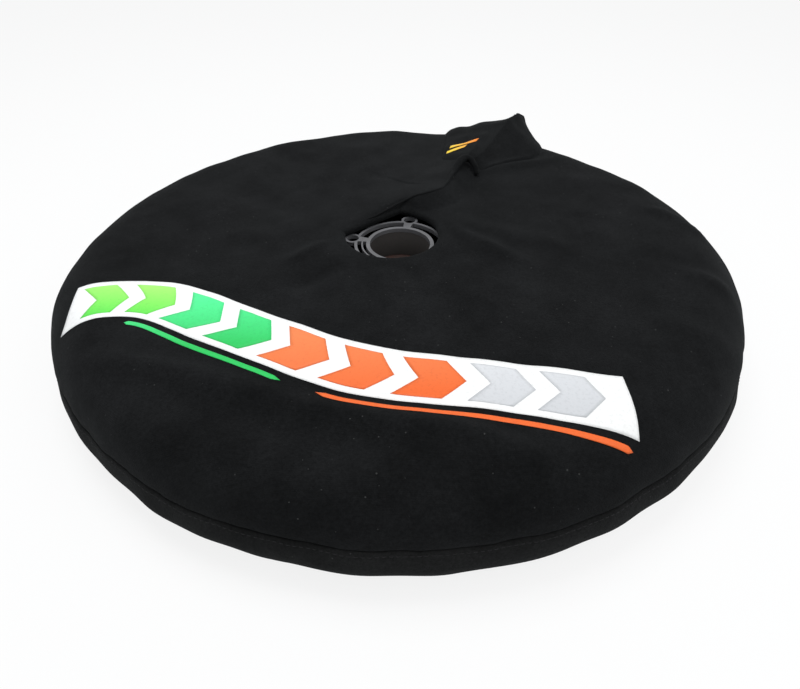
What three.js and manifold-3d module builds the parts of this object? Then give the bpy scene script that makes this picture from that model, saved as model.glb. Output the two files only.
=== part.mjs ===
// A motorcycle tire warmer: a round fabric cover with a heated blanket inside, laid flat on its side.
// Millimetres, +Z up. The origin is on the floor at the middle of the cover.
import * as THREE from "three";
import { mergeVertices } from "three/addons/utils/BufferGeometryUtils.js";
import Module from "manifold-3d";

const wasm = await Module();
wasm.setup();

// Outer size of the cover
const overallRadius = 310;
const sideSwell = 8;
const swellStart = 60;
const swellEnd = 220;
const coverHeight = 90;
const seamHeight = 50;
const seamTuck = 4;
const shoulderReach = 45;
const cornerReach = 40;
const cornerHeight = 14;
const cornerTuck = 8;
const clothThickness = 2;
const gap = 0.3;

// Opening in the middle of each side curtain
const openingRadius = 45;
const openingShift = { x: -8, y: 9 };
const shiftFadeStart = 60;
const shiftFadeEnd = 150;
const hemRollRadius = 3.6;
const hemCloth = 1.6;
const elasticRadius = 1.5;

// Heated blanket behind the band
const blanketHalfSpan = THREE.MathUtils.degToRad(60);
const blanketSlack = 6;
const blanketFlats = 4;
const insulationThickness = 5;
const carrierThickness = 1;
const elementDiameter = 2.4;
const liningThickness = 1;
const elementSlack = 0.4;
const liningSlack = 0.9;
const leadDiameter = 2;
const elementWaves = 9;
const elementSwing = THREE.MathUtils.degToRad(18);
const elementLane = THREE.MathUtils.degToRad(26);

// Closure at the far right: the slit, the flap over it and its hook-and-loop tapes
const slitAngle = 60;
const slitWidth = 2;
const elementMargin = 12;
const flapRight = 52.5;
const flapLeft = 79;
const flapCloth = 2;
const flapPeak = 36;
const flapLow = 18;
const flapSink = 1.5;
const flapMargin = 1;
const knobRadius = 165;
const knobAngle = 65;
const tapeThickness = 1;
const tapeSeat = 0.6;
const hookTapeHeight = 22;
const tapeMargin = 3;
const shoulderLength = 66;

// The flap's form at shares of its length: angles of its right side, ridge and left side, and its height
const flapStations = [
  [0, flapRight, 60.5, flapLeft, 0],
  [0.1, flapRight, 60.5, flapLeft, 0],
  [0.24, flapRight, 60.5, flapLeft, 0.55],
  [0.376, flapRight, 60.5, flapLeft, 1],
  [0.44, 50, 60.6, 78.8, 0.83],
  [0.56, 48, 60.8, 78, 0.69],
  [0.66, 48.5, 61.2, 77.5, 0.58],
  [0.78, 52, 61.5, 77, 0.53],
  [0.88, 56.5, 62, 76, 0.5],
  [1, 61.5, knobAngle, 74, 0.38],
];
const barCount = 2;
const barStart = 48;
const barPitch = 9;
const barWidth = 4;
const barSlant = 12;
const barLeftShare = 0.16;
const barSpanShare = 0.26;
const seamTapeHalfWidth = 4;

// Supply cord gland
const glandAngle = 36;
const glandFlangeRadius = 9;
const glandFlangeThickness = 3;
const glandNeckRadius = 5.5;
const glandBoreRadius = 3.2;

// Cast ring in the opening, with its barrel and lower flange
const boreRadius = 29;
const innerRingWidth = 3.6;
const outerRingRadius = 44;
const outerRingWidth = 2.8;
const ringThickness = 4;
const webCount = 4;
const webAngle = 78;
const webWidth = 9;
const ribRadius = 36.5;
const ribWidth = 1.4;
const eyeletCentreRadius = 47;
const eyeletRadius = 8.2;
const eyeletHoleRadius = 5.8;
const lowerFlangeHeight = 7;
const sealDepth = 30;
const sealThickness = 7;
const sealBoreRadius = 20;

// Printed graphic: plain chevrons on a pale ribbon
const printThickness = 0.4;
const chevronCount = 9;
const ribbonHalfHeight = 26;
const ribbonEndHalfHeight = 31;
const chevronHalfHeight = 20;
const chevronStart = 0.05;
const chevronEnd = 0.93;
const chevronFill = 0.66;
const chevronDepth = 0.03;
const sweepGap = 5.5;
const sweepWidth = 4.5;

const segments = 48;
const edgeRadius = overallRadius - seamTuck;
const flatRadius = edgeRadius - shoulderReach;
const hemCentreRadius = openingRadius + hemRollRadius;
const ringTop = coverHeight - 2 * hemRollRadius - gap;
const baseRadius = overallRadius - cornerTuck - cornerReach;

const cloth = (color) => new THREE.MeshStandardMaterial({ color, roughness: 0.95, metalness: 0 });
const blackCloth = cloth(0x1e2021);
const bandCloth = cloth(0x232426);
const liningCloth = cloth(0x3a3a3c);
const insulationFelt = cloth(0x8b8d8f);
const tapeCloth = cloth(0x151516);
const rubber = new THREE.MeshStandardMaterial({ color: 0x17130f, roughness: 0.7, metalness: 0 });
const brownRubber = new THREE.MeshStandardMaterial({ color: 0x3a2018, roughness: 0.7, metalness: 0 });
const silicone = new THREE.MeshStandardMaterial({ color: 0x9c2d20, roughness: 0.5, metalness: 0 });
const castMetal = new THREE.MeshStandardMaterial({ color: 0x6f7073, roughness: 0.45, metalness: 0.8 });
const ink = (color) => new THREE.MeshStandardMaterial({ color, roughness: 0.55, metalness: 0 });
const whiteInk = ink(0xf2f2f0);
const limeInk = ink(0x8ff04a);
const greenInk = ink(0x22c45a);
const orangeInk = ink(0xef6a2a);
const paleInk = ink(0xd9dadb);

const part = new THREE.Group();

// Merges shared corners and turns the faces outwards.
function closed(geometry) {
  const bare = geometry.clone();
  for (const name of Object.keys(bare.attributes)) {
    if (name !== "position") bare.deleteAttribute(name);
  }
  const merged = mergeVertices(bare, 1e-4);
  const p = merged.getAttribute("position");
  const index = merged.index.array;
  const [a, b, c] = [new THREE.Vector3(), new THREE.Vector3(), new THREE.Vector3()];
  let volume = 0;
  const kept = [];
  for (let i = 0; i < index.length; i += 3) {
    const face = [index[i], index[i + 1], index[i + 2]];
    if (new Set(face).size < 3) continue;
    kept.push(...face);
    a.fromBufferAttribute(p, face[0]);
    b.fromBufferAttribute(p, face[1]);
    c.fromBufferAttribute(p, face[2]);
    volume += a.dot(b.cross(c));
  }
  if (volume < 0) kept.reverse();
  merged.setIndex(kept);
  return merged;
}

function solidOf(geometry) {
  const g = closed(geometry);
  const vertProperties = new Float32Array(g.getAttribute("position").array);
  const triVerts = new Uint32Array(g.index.array);
  return new wasm.Manifold(new wasm.Mesh({ numProp: 3, vertProperties, triVerts }));
}

function geometryOf(solid) {
  const mesh = solid.getMesh();
  const g = new THREE.BufferGeometry();
  g.setAttribute("position", new THREE.BufferAttribute(new Float32Array(mesh.vertProperties), 3));
  g.setIndex(new THREE.BufferAttribute(new Uint32Array(mesh.triVerts), 1));
  return g;
}

// Widens the cover to its left and right, where the band bulges out under the slack cloth.
function widen(p) {
  p.x *= 1 + (sideSwell / overallRadius) * smooth(swellStart, swellEnd, Math.hypot(p.x, p.y));
}

function add(name, geometry, material) {
  const mesh = new THREE.Mesh(closed(moved(geometry, widen)), material);
  mesh.geometry.computeVertexNormals();
  mesh.name = name;
  part.add(mesh);
  return mesh;
}

// Moves every corner of a geometry to where the function puts it.
function moved(geometry, place) {
  const p = geometry.getAttribute("position");
  const v = new THREE.Vector3();
  for (let i = 0; i < p.count; i++) {
    v.fromBufferAttribute(p, i);
    place(v);
    p.setXYZ(i, v.x, v.y, v.z);
  }
  return geometry;
}

// Turns a closed section of [radius, height] points round the vertical axis.
function turned(section, count = segments) {
  const points = [...section, section[0]].map(([r, z]) => new THREE.Vector2(r, z));
  return new THREE.LatheGeometry(points, count).rotateX(Math.PI / 2);
}

// A slab with a grid of faces, whose corners (u, v, w) from 0 to 1 go where the function puts them.
function mappedSlab(across, along, place) {
  const slab = new THREE.BoxGeometry(1, 1, 1, across, along, 1);
  return moved(slab, (p) => p.copy(place(p.x + 0.5, p.y + 0.5, p.z + 0.5)));
}

const steps = (count) => Array.from({ length: count + 1 }, (_, i) => i / count);
const smooth = (from, to, x) => THREE.MathUtils.smoothstep(x, from, to);
const radians = THREE.MathUtils.degToRad;

function polar(radius, degrees, height) {
  const angle = radians(degrees);
  return new THREE.Vector3(radius * Math.cos(angle), radius * Math.sin(angle), height);
}

// A point on the flats of a turned ring, whose corners lie at the radius.
function onFlats(radius, degrees, height) {
  const half = Math.PI / segments;
  const turn = THREE.MathUtils.euclideanModulo(radians(degrees), 2 * half) - half;
  return polar((radius * Math.cos(half)) / Math.cos(turn), degrees, height);
}

// Section of the cover's outside

function bandRadius(z) {
  const t = (z - cornerHeight) / (seamHeight - cornerHeight);
  return overallRadius - (1 - Math.sin(Math.PI * t)) * (t < 0.5 ? cornerTuck : seamTuck);
}

function shoulderPoint(angle, offset) {
  return [
    flatRadius + (shoulderReach + offset) * Math.cos(angle),
    seamHeight + (coverHeight - seamHeight + offset) * Math.sin(angle),
  ];
}

function cornerPoint(angle, offset) {
  return [
    baseRadius + (cornerReach + offset) * Math.sin(angle),
    cornerHeight - (cornerHeight + offset) * Math.cos(angle),
  ];
}

const shoulder = (offset) => steps(5).map((t) => shoulderPoint((t * Math.PI) / 2, offset));
const topRadii = [0.8, 0.62, 0.44, 0.27, 0.12].map(
  (t) => hemCentreRadius + t * (flatRadius - hemCentreRadius),
);
const flatTop = (offset) => topRadii.map((r) => [r, coverHeight + offset]);

// Folds of the upper curtain: soft ridges and hollows, each along a line in plan
const folds = [
  { from: [-66, 22], to: [-24, 62], rise: 5, width: 22 },
  { from: [-24, 62], to: [44, 98], rise: 6, width: 24 },
  { from: [44, 98], to: [66, 152], rise: 6, width: 20 },
  { from: [-205, -165], to: [-60, -222], rise: 2.5, width: 16 },
  { from: [-60, -222], to: [95, -250], rise: 2.5, width: 16 },
  { from: [-150, -215], to: [70, -268], rise: -5, width: 18 },
  { from: [40, 40], to: [112, -50], rise: 3.5, width: 16 },
  { from: [-50, -50], to: [-95, -90], rise: -3.5, width: 16 },
  { from: [-15, -52], to: [-10, -105], rise: -3, width: 18 },
  { from: [262, -35], to: [285, -85], rise: 3, width: 14 },
  { from: [118, 160], to: [190, 190], rise: 3, width: 16 },
];

function lineDistance(x, y, [ax, ay], [bx, by]) {
  const [dx, dy] = [bx - ax, by - ay];
  const t = THREE.MathUtils.clamp(((x - ax) * dx + (y - ay) * dy) / (dx * dx + dy * dy), 0, 1);
  return Math.hypot(x - ax - t * dx, y - ay - t * dy);
}

function relief(x, y) {
  const r = Math.hypot(x, y);
  const fade = smooth(openingRadius + 8, openingRadius + 40, r) * (1 - smooth(flatRadius, edgeRadius, r));
  let rise = 0;
  for (const f of folds) {
    rise += f.rise * Math.exp(-((lineDistance(x, y, f.from, f.to) / f.width) ** 2));
  }
  return fade * rise;
}

// Lays a turned piece on the draped upper curtain: the opening is off centre and the cloth is folded.
function drape(p) {
  const [x, y] = [p.x, p.y];
  const shift = 1 - smooth(shiftFadeStart, shiftFadeEnd, Math.hypot(x, y));
  p.set(x + openingShift.x * shift, y + openingShift.y * shift, p.z + relief(x, y));
}

// The space under the draped cover, raised by an offset, down to a floor.
function coverSolid(offset, floor) {
  const band = steps(4).map((t) => {
    const z = cornerHeight + t * (seamHeight - cornerHeight);
    return [bandRadius(z) + offset, z];
  });
  const foot = [
    [0, floor],
    [baseRadius, floor],
  ];
  const section = [...foot, ...band, ...shoulder(offset).slice(1), ...flatTop(offset)];
  section.push([0, coverHeight + offset]);
  return solidOf(moved(turned(section), drape));
}

// Rolled hem section round an elastic cord: from the outside of the cloth to its inside.
function hemRoll(centre, height, side) {
  const arc = (radius, from, to) =>
    steps(4).map((t) => {
      const a = radians(from + t * (to - from));
      return [centre + radius * Math.cos(a), height + side * radius * Math.sin(a)];
    });
  return { outside: arc(hemRollRadius, 90, 320), inside: arc(hemRollRadius - hemCloth, 320, 110) };
}

function upperCurtain() {
  const roll = hemRoll(hemCentreRadius, coverHeight - hemRollRadius, 1);
  const under = [...flatTop(-clothThickness)].reverse();
  const section = [
    ...shoulder(0),
    ...flatTop(0),
    ...roll.outside,
    ...roll.inside,
    [hemCentreRadius + 1, coverHeight - clothThickness],
    ...under,
    ...shoulder(-clothThickness).reverse(),
  ];
  return moved(turned(section), drape);
}

function lowerCurtain() {
  const roll = hemRoll(hemCentreRadius, hemRollRadius, -1);
  const top = clothThickness;
  const section = [
    [baseRadius - gap, 0],
    [baseRadius - gap, top],
    [hemCentreRadius + 1, top],
    ...roll.inside.reverse(),
    ...roll.outside.reverse(),
  ];
  return turned(section);
}

function elastic(height) {
  const section = steps(5).slice(1).map((t) => {
    const a = t * 2 * Math.PI;
    return [hemCentreRadius + elasticRadius * Math.cos(a), height + elasticRadius * Math.sin(a)];
  });
  return turned(section);
}

function outerBand() {
  const wall = (offset) => [
    ...steps(3).map((t) => cornerPoint((t * Math.PI) / 2, offset)),
    ...steps(4)
      .slice(1)
      .map((t) => {
        const z = cornerHeight + t * (seamHeight - gap - cornerHeight);
        return [bandRadius(z) + offset, z];
      }),
  ];
  return turned([...wall(0), ...wall(-clothThickness).reverse()]);
}

// The blanket's layers share one rounded section behind the band

const blanketCentre = { r: baseRadius, z: coverHeight / 2 - 1 };
const [seamInside, aboveSeam] = shoulder(-clothThickness);
const seamTapeShare = seamTapeHalfWidth / (aboveSeam[1] - seamInside[1]);
const seamTapeRadius = THREE.MathUtils.lerp(seamInside[0], aboveSeam[0], seamTapeShare) - gap;
const blanketReach = seamTapeRadius - tapeThickness - gap - blanketCentre.r;
const blanketHalfHeight = coverHeight / 2 - clothThickness - blanketSlack + 1;

const carrierDepth = insulationThickness + gap;
const elementDepth = carrierDepth + carrierThickness + elementSlack + elementDiameter / 2;
const liningDepth = elementDepth + elementDiameter / 2 + liningSlack;

function blanketCorner(index, depth) {
  const angle = ((2 * index) / blanketFlats - 1) * blanketHalfSpan;
  return [
    blanketCentre.r + (blanketReach - depth) * Math.cos(angle),
    blanketCentre.z + (blanketHalfHeight - depth) * Math.sin(angle),
  ];
}

function blanketLayer(depth, thickness) {
  const side = (d) => steps(blanketFlats).map((_, i) => blanketCorner(i, d));
  return turned([...side(depth), ...side(depth + thickness).reverse()]);
}

// A point on the flats of a layer's section, by angle up from the blanket's middle.
function blanketPoint(angle, depth) {
  const along = ((angle / blanketHalfSpan + 1) / 2) * blanketFlats;
  const index = Math.min(Math.floor(along), blanketFlats - 1);
  const [low, high] = [blanketCorner(index, depth), blanketCorner(index + 1, depth)];
  return low.map((value, i) => THREE.MathUtils.lerp(value, high[i], along - index));
}

function blanketPlace(degrees, angle, depth) {
  const [r, z] = blanketPoint(angle, depth);
  return onFlats(r, degrees, z);
}

// Heating element: out round the blanket in the upper lane and back in the lower one.
const flatAngle = 360 / segments;
const elementStart = 3 * flatAngle;
const elementFlats = Math.floor((360 - (slitAngle + elementMargin - elementStart)) / flatAngle);
const elementEnd = elementStart - elementFlats * flatAngle;

function heatingElement() {
  const lane = (level, forward) =>
    steps(2 * elementFlats).map((t) => {
      const along = forward ? t : 1 - t;
      const degrees = elementStart + along * (elementEnd - elementStart);
      const swing = elementSwing * Math.sin(along * elementWaves * 2 * Math.PI);
      return blanketPlace(degrees, level + swing, elementDepth);
    });
  const bend = blanketPlace(elementEnd - flatAngle / 2, 0, elementDepth);
  const route = [...lane(elementLane, true), bend, ...lane(-elementLane, false)];
  return tube(route, elementDiameter / 2, 5, route.length - 1);
}

function tube(route, radius, sides, count) {
  const section = new THREE.Shape();
  for (let i = 0; i < sides; i++) {
    const a = (i / sides) * 2 * Math.PI;
    const [x, y] = [radius * Math.cos(a), radius * Math.sin(a)];
    if (i) section.lineTo(x, y);
    else section.moveTo(x, y);
  }
  section.closePath();
  const extrudePath = new THREE.CatmullRomCurve3(route);
  return new THREE.ExtrudeGeometry(section, { steps: count, extrudePath, bevelEnabled: false });
}

// Leads from the gland to the two ends of the element, one of them through the thermal cut-out
const cutoutStart = elementStart + 2;
const cutoutEnd = elementStart + 7;

function thermalCutout() {
  const halfHeight = radians(8);
  return mappedSlab(3, 2, (u, v, w) =>
    blanketPlace(
      cutoutStart + u * (cutoutEnd - cutoutStart),
      -elementLane + (2 * v - 1) * halfHeight,
      elementDepth + (0.5 - w) * (elementDiameter - gap),
    ),
  );
}

const glandHeight = (cornerHeight + seamHeight) / 2;
const glandTilt = Math.asin((glandHeight - blanketCentre.z) / blanketHalfHeight);
const leadClearance = 1.4;

function lead(fromDegrees, level, side) {
  const toDegrees = glandAngle - THREE.MathUtils.radToDeg((glandNeckRadius + leadClearance) / overallRadius);
  const target = glandTilt + side * radians(4);
  const route = steps(6).map((t) =>
    blanketPlace(
      fromDegrees + t * (toDegrees - fromDegrees),
      level + smooth(0, 1, t) * (target - level),
      elementDepth,
    ),
  );
  return tube(route, leadDiameter / 2, 5, 8);
}

// A bar along the gland's axis, from one radius to another.
function glandBar(radius, from, to, sides = 20) {
  const bar = new THREE.CylinderGeometry(radius, radius, to - from, sides);
  bar.rotateZ(-Math.PI / 2).translate((from + to) / 2, 0, 0);
  return solidOf(bar.rotateZ(radians(glandAngle)).translate(0, 0, glandHeight));
}

const glandInnerRadius = blanketPoint(glandTilt, elementDepth + elementDiameter / 2)[0];

function cableGland() {
  const seat = overallRadius + gap;
  const tip = seat + glandFlangeThickness;
  const body = glandBar(glandFlangeRadius, seat, tip).add(glandBar(glandNeckRadius, glandInnerRadius, tip + 4));
  return geometryOf(body.subtract(glandBar(glandBoreRadius, glandInnerRadius - 1, tip + 5)));
}

// Cuts the closing slit, and the gland's hole, through a ring of cloth.
function opened(geometry) {
  const reach = 80;
  const cut = new THREE.BoxGeometry(reach, slitWidth, 3 * coverHeight);
  cut.translate(overallRadius - reach / 2 + 10, 0, 0).rotateZ(radians(slitAngle));
  const hole = glandBar(glandNeckRadius + gap, glandInnerRadius - 10, overallRadius + 10);
  return geometryOf(solidOf(geometry).subtract(solidOf(cut)).subtract(hole));
}

function seamTape() {
  const [low, high] = [seamHeight - seamTapeHalfWidth, seamHeight + seamTapeHalfWidth];
  const inner = seamTapeRadius - tapeThickness;
  return turned([
    [seamTapeRadius, low],
    [seamTapeRadius, high],
    [inner, high],
    [inner, low],
  ]);
}

function lowerSeamTape() {
  const low = clothThickness + 2 * gap;
  const [inner, outer] = [baseRadius - 2 * seamTapeHalfWidth, baseRadius + seamTapeHalfWidth];
  return turned([
    [outer, low],
    [outer, low + tapeThickness],
    [inner, low + tapeThickness],
    [inner, low],
  ]);
}

// Closure flap over the slit: from low on the band, over the shoulder, to the knob on the top

const bandLength = seamHeight - flapLow;
const topLength = flatRadius - knobRadius;
const flapLength = bandLength + shoulderLength + topLength;

// Point at a distance up the cover's outside, and the way out of the cloth there.
function outside(distance, offset) {
  if (distance < bandLength) {
    const z = flapLow + distance;
    return [bandRadius(z) + offset, z];
  }
  if (distance < bandLength + shoulderLength) {
    return shoulderPoint(((distance - bandLength) / shoulderLength) * (Math.PI / 2), offset);
  }
  return [flatRadius - (distance - bandLength - shoulderLength), coverHeight + offset];
}

function flapForm(distance) {
  const share = THREE.MathUtils.clamp(distance / flapLength, 0, 1);
  const next = Math.max(1, flapStations.findIndex(([at]) => at >= share));
  const [low, high] = [flapStations[next - 1], flapStations[next]];
  const t = (share - low[0]) / (high[0] - low[0]);
  const [, right, ridge, left, rise] = low.map((value, i) => THREE.MathUtils.lerp(value, high[i], t));
  return { right, ridge, left, rise };
}

// How far the bunched cloth stands off, by distance up the flap and angle across it.
function flapBunch(distance, degrees) {
  const { right, ridge, left, rise } = flapForm(distance);
  const side =
    degrees < ridge ? (degrees - right) / (ridge - right) : (left - degrees) / (left - ridge);
  return flapPeak * rise * side;
}

const tapeStack = tapeSeat + gap + 2 * tapeThickness;

function flapPlace(distance, degrees, lift) {
  const [r, z] = outside(distance, lift);
  const p = polar(r, degrees, z);
  p.z += relief(p.x, p.y);
  return p;
}

// The flap's underside clears the tapes on the band, then comes down on the shoulder.
function flapUnder(distance) {
  const over = smooth(bandLength * 0.8, bandLength * 1.3, distance);
  return THREE.MathUtils.lerp(tapeStack + 3 * gap, gap, over);
}

function closureFlap() {
  const block = mappedSlab(10, 20, (u, v, w) => {
    const distance = v * flapLength;
    const { right, left } = flapForm(distance);
    const degrees = THREE.MathUtils.lerp(left, right, u);
    const sink = flapSink * smooth(bandLength * 0.8, bandLength * 1.3, distance);
    const outside = flapCloth + flapMargin + flapBunch(distance, degrees);
    return flapPlace(distance, degrees, flapUnder(distance) + (w ? outside : -sink));
  });
  return geometryOf(solidOf(block).subtract(coverSolid(gap, cornerHeight)));
}

function bandTape(offset) {
  const low = flapLow + 1;
  const [from, to] = [flapRight + tapeMargin, flapLeft - tapeMargin];
  return mappedSlab(8, 4, (u, v, w) => {
    const z = low + v * hookTapeHeight;
    return onFlats(bandRadius(z) + offset + w * tapeThickness, to + u * (from - to), z);
  });
}

// Small slanted bars on the flap
function flapBar(index) {
  const from = bandLength + shoulderLength + barStart + index * barPitch;
  return mappedSlab(3, 1, (u, v, w) => {
    const distance = from + v * barWidth - u * barSlant;
    const { right, left } = flapForm(distance);
    const degrees = THREE.MathUtils.lerp(left, right, barLeftShare + barSpanShare * u);
    const under = flapUnder(distance) + flapCloth + flapMargin + flapBunch(distance, degrees);
    return flapPlace(distance, degrees, under + 2 * gap + w * printThickness);
  });
}

// Bound free edge of the upper curtain, from the left of the opening to the flap's knob
const knobEnd = polar(knobRadius - 1.2, knobAngle + 1.4, 0);
const bindingRoute = [
  [-62, 0],
  [-52, 37],
  [-22, 62],
  [17, 78],
  [44, 98],
  [55, 121],
  [knobEnd.x, knobEnd.y],
];
const bindingHalfWidth = 7;
const bindingHeight = 8;

function edgeBinding() {
  const line = new THREE.CatmullRomCurve3(bindingRoute.map(([x, y]) => new THREE.Vector3(x, y, 0)));
  const across = new THREE.Vector3();
  const block = mappedSlab(4, 16, (u, v, w) => {
    const t = v;
    const p = line.getPoint(t);
    const along = line.getTangent(t);
    across.set(along.y, -along.x, 0);
    const side = 2 * u - 1;
    p.addScaledVector(across, side * bindingHalfWidth);
    const crown = bindingHeight * Math.sqrt(1 - 0.75 * side * side);
    p.z = coverHeight + relief(p.x, p.y) + (w ? crown : -clothThickness / 2);
    return p;
  });
  return geometryOf(solidOf(block).subtract(coverSolid(gap, cornerHeight)));
}

// Cast ring: two rims joined by webs, an eyelet, and a barrel with a lower flange

function arcSlot(inner, outer, from, to) {
  const slot = new THREE.Path();
  slot.absarc(0, 0, outer, radians(from), radians(to), false);
  slot.absarc(0, 0, inner, radians(to), radians(from), true);
  slot.closePath();
  return slot;
}

function hubCore() {
  const innerRim = boreRadius + innerRingWidth;
  const outerRim = outerRingRadius - outerRingWidth;
  const face = new THREE.Shape();
  face.absarc(0, 0, outerRingRadius, 0, 2 * Math.PI, false);
  const bore = new THREE.Path();
  bore.absarc(0, 0, boreRadius, 0, 2 * Math.PI, true);
  face.holes.push(bore);
  const halfWeb = THREE.MathUtils.radToDeg(webWidth / 2 / outerRim);
  const pitch = 360 / webCount;
  for (let i = 0; i < webCount; i++) {
    const from = webAngle + i * pitch + halfWeb;
    const to = webAngle + (i + 1) * pitch - halfWeb;
    if (i === 1) {
      face.holes.push(arcSlot(innerRim, ribRadius - ribWidth / 2, from, to));
      face.holes.push(arcSlot(ribRadius + ribWidth / 2, outerRim, from, to));
    } else {
      face.holes.push(arcSlot(innerRim, outerRim, from, to));
    }
  }
  const ring = new THREE.ExtrudeGeometry(face, { depth: ringThickness, bevelEnabled: false, curveSegments: 12 });
  ring.translate(0, 0, ringTop - ringThickness);
  const disc = (index, radius, height) => {
    const at = polar(eyeletCentreRadius, webAngle + index * pitch, ringTop - ringThickness / 2);
    const cylinder = new THREE.CylinderGeometry(radius, radius, height, 16).rotateX(Math.PI / 2);
    return solidOf(cylinder.translate(at.x, at.y, at.z));
  };
  const barrelSection = [
    [openingRadius - gap, 0],
    [openingRadius - gap, lowerFlangeHeight],
    [innerRim, lowerFlangeHeight],
    [innerRim, ringTop - 1],
    [boreRadius, ringTop - 1],
    [boreRadius, 0],
  ];
  const barrel = turned(barrelSection);
  let body = solidOf(ring).add(solidOf(barrel));
  for (let i = 0; i < webCount; i++) body = body.add(disc(i, eyeletRadius, ringThickness));
  for (let i = 0; i < webCount; i++) body = body.subtract(disc(i, eyeletHoleRadius, 2 * ringThickness));
  return geometryOf(body);
}

function hubSeal() {
  const top = ringTop - sealDepth;
  return turned([
    [boreRadius - gap, top - sealThickness],
    [boreRadius - gap, top],
    [sealBoreRadius, top - 1.5],
    [sealBoreRadius, top - sealThickness],
  ]);
}

// Printed graphic

// Middle line of the ribbon, each point by its distance in from the edge and its angle
const ribbonRoute = [
  [21, -156.9],
  [85, -152.5],
  [122, -127.5],
  [117, -96.1],
  [86, -69.3],
  [33, -54.6],
];
const ribbonLine = new THREE.SplineCurve(
  ribbonRoute.map(([inset, degrees]) => {
    const p = polar(edgeRadius - inset, degrees, 0);
    return new THREE.Vector2(p.x, p.y);
  }),
);

// Point beside the ribbon's middle line, leaning with the chevrons.
function ribbonPoint(t, side) {
  const p = ribbonLine.getPoint(t);
  const along = ribbonLine.getTangent(t);
  return new THREE.Vector2(p.x - along.y * side, p.y + along.x * side);
}

function outline(points) {
  return new THREE.Shape(points.map(([t, side]) => ribbonPoint(t, side)));
}

function layered(shape, low) {
  const column = new THREE.ExtrudeGeometry(shape, { depth: 2 * coverHeight, bevelEnabled: false });
  const layer = coverSolid(low + printThickness, cornerHeight).subtract(coverSolid(low, 0));
  return geometryOf(solidOf(column).intersect(layer));
}

function ribbon() {
  const edge = (side, from, to) => steps(10).map((t) => [from + t * (to - from), side]);
  return outline([
    [0, -ribbonHalfHeight],
    ...edge(-ribbonHalfHeight, 0.08, chevronEnd),
    [1, -ribbonEndHalfHeight],
    ...edge(ribbonHalfHeight, 0.96, chevronDepth),
  ]);
}

const chevronInks = [limeInk, limeInk, greenInk, greenInk, orangeInk, orangeInk, orangeInk, paleInk, paleInk];

function chevron(index) {
  const pitch = (chevronEnd - chevronStart) / chevronCount;
  const from = chevronStart + index * pitch;
  const to = from + pitch * chevronFill;
  const h = chevronHalfHeight;
  return outline([
    [from, -h],
    [to, -h],
    [to + chevronDepth, 0],
    [to, h],
    [from, h],
    [from + chevronDepth, 0],
  ]);
}

function sweep(from, to) {
  const edge = (side) => steps(6).map((t) => [from + t * (to - from), side]);
  const high = -ribbonHalfHeight - sweepGap;
  return outline([...edge(high - sweepWidth), ...edge(high).reverse()]);
}

add("lower_side_curtain", lowerCurtain(), blackCloth);
add("lower_hem_elastic", elastic(hemRollRadius), rubber);
add("upper_side_curtain", upperCurtain(), blackCloth);
add("upper_hem_elastic", moved(elastic(coverHeight - hemRollRadius), drape), rubber);
add("outer_band", opened(outerBand()), bandCloth);
add("insulation_layer", opened(blanketLayer(0, insulationThickness)), insulationFelt);
add("heater_carrier", opened(blanketLayer(carrierDepth, carrierThickness)), liningCloth);
add("heating_element", heatingElement(), silicone);
add("inner_lining", opened(blanketLayer(liningDepth, liningThickness)), liningCloth);
add("upper_seam_tape", opened(seamTape()), tapeCloth);
add("lower_seam_tape", lowerSeamTape(), tapeCloth);
add("closure_flap", closureFlap(), bandCloth);
add("loop_tape", bandTape(tapeSeat), tapeCloth);
add("hook_tape", bandTape(tapeSeat + gap + tapeThickness), tapeCloth);
add("edge_binding", edgeBinding(), blackCloth);
add("thermal_cutout", thermalCutout(), rubber);
add("lead_upper", lead(elementStart + 1, elementLane, 1), silicone);
add("lead_lower", lead(cutoutEnd + 0.3, -elementLane, -1), silicone);
add("cable_gland", cableGland(), rubber);
add("hub_core", hubCore(), castMetal);
add("hub_seal", hubSeal(), brownRubber);
for (let i = 0; i < barCount; i++) add(`flap_bar_${i + 1}`, flapBar(i), orangeInk);
add("print_ribbon", layered(ribbon(), gap), whiteInk);
for (let i = 0; i < chevronCount; i++) {
  add(`print_chevron_${i + 1}`, layered(chevron(i), 2 * gap + printThickness), chevronInks[i]);
}
add("print_sweep_green", layered(sweep(0.16, 0.5), gap), greenInk);
add("print_sweep_orange", layered(sweep(0.55, 0.98), gap), orangeInk);

export default part;
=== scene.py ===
"""Dresses a motorcycle tire warmer that lies flat: draped black cloth, a printed graphic and a cast ring."""
import math

import bmesh
import bpy
import numpy as np
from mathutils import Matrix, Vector

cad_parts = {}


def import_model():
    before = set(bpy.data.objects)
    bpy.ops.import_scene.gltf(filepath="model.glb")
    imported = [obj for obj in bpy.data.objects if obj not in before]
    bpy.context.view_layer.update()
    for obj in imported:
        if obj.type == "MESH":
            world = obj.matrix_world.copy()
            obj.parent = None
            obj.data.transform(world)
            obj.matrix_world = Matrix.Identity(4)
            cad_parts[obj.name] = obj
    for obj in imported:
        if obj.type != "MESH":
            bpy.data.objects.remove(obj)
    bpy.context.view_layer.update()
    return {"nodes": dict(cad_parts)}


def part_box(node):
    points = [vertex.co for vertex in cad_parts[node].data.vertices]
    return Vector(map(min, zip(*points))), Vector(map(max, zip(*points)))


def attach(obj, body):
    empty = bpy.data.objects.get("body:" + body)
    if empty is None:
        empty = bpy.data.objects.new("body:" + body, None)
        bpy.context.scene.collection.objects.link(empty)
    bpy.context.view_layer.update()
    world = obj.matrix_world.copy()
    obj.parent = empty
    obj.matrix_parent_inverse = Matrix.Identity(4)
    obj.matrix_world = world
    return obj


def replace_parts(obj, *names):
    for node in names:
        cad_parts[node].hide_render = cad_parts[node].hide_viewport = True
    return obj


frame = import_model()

# Camera: a pinhole fitted to the cover's outline and seam
PITCH = 40.07
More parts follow.
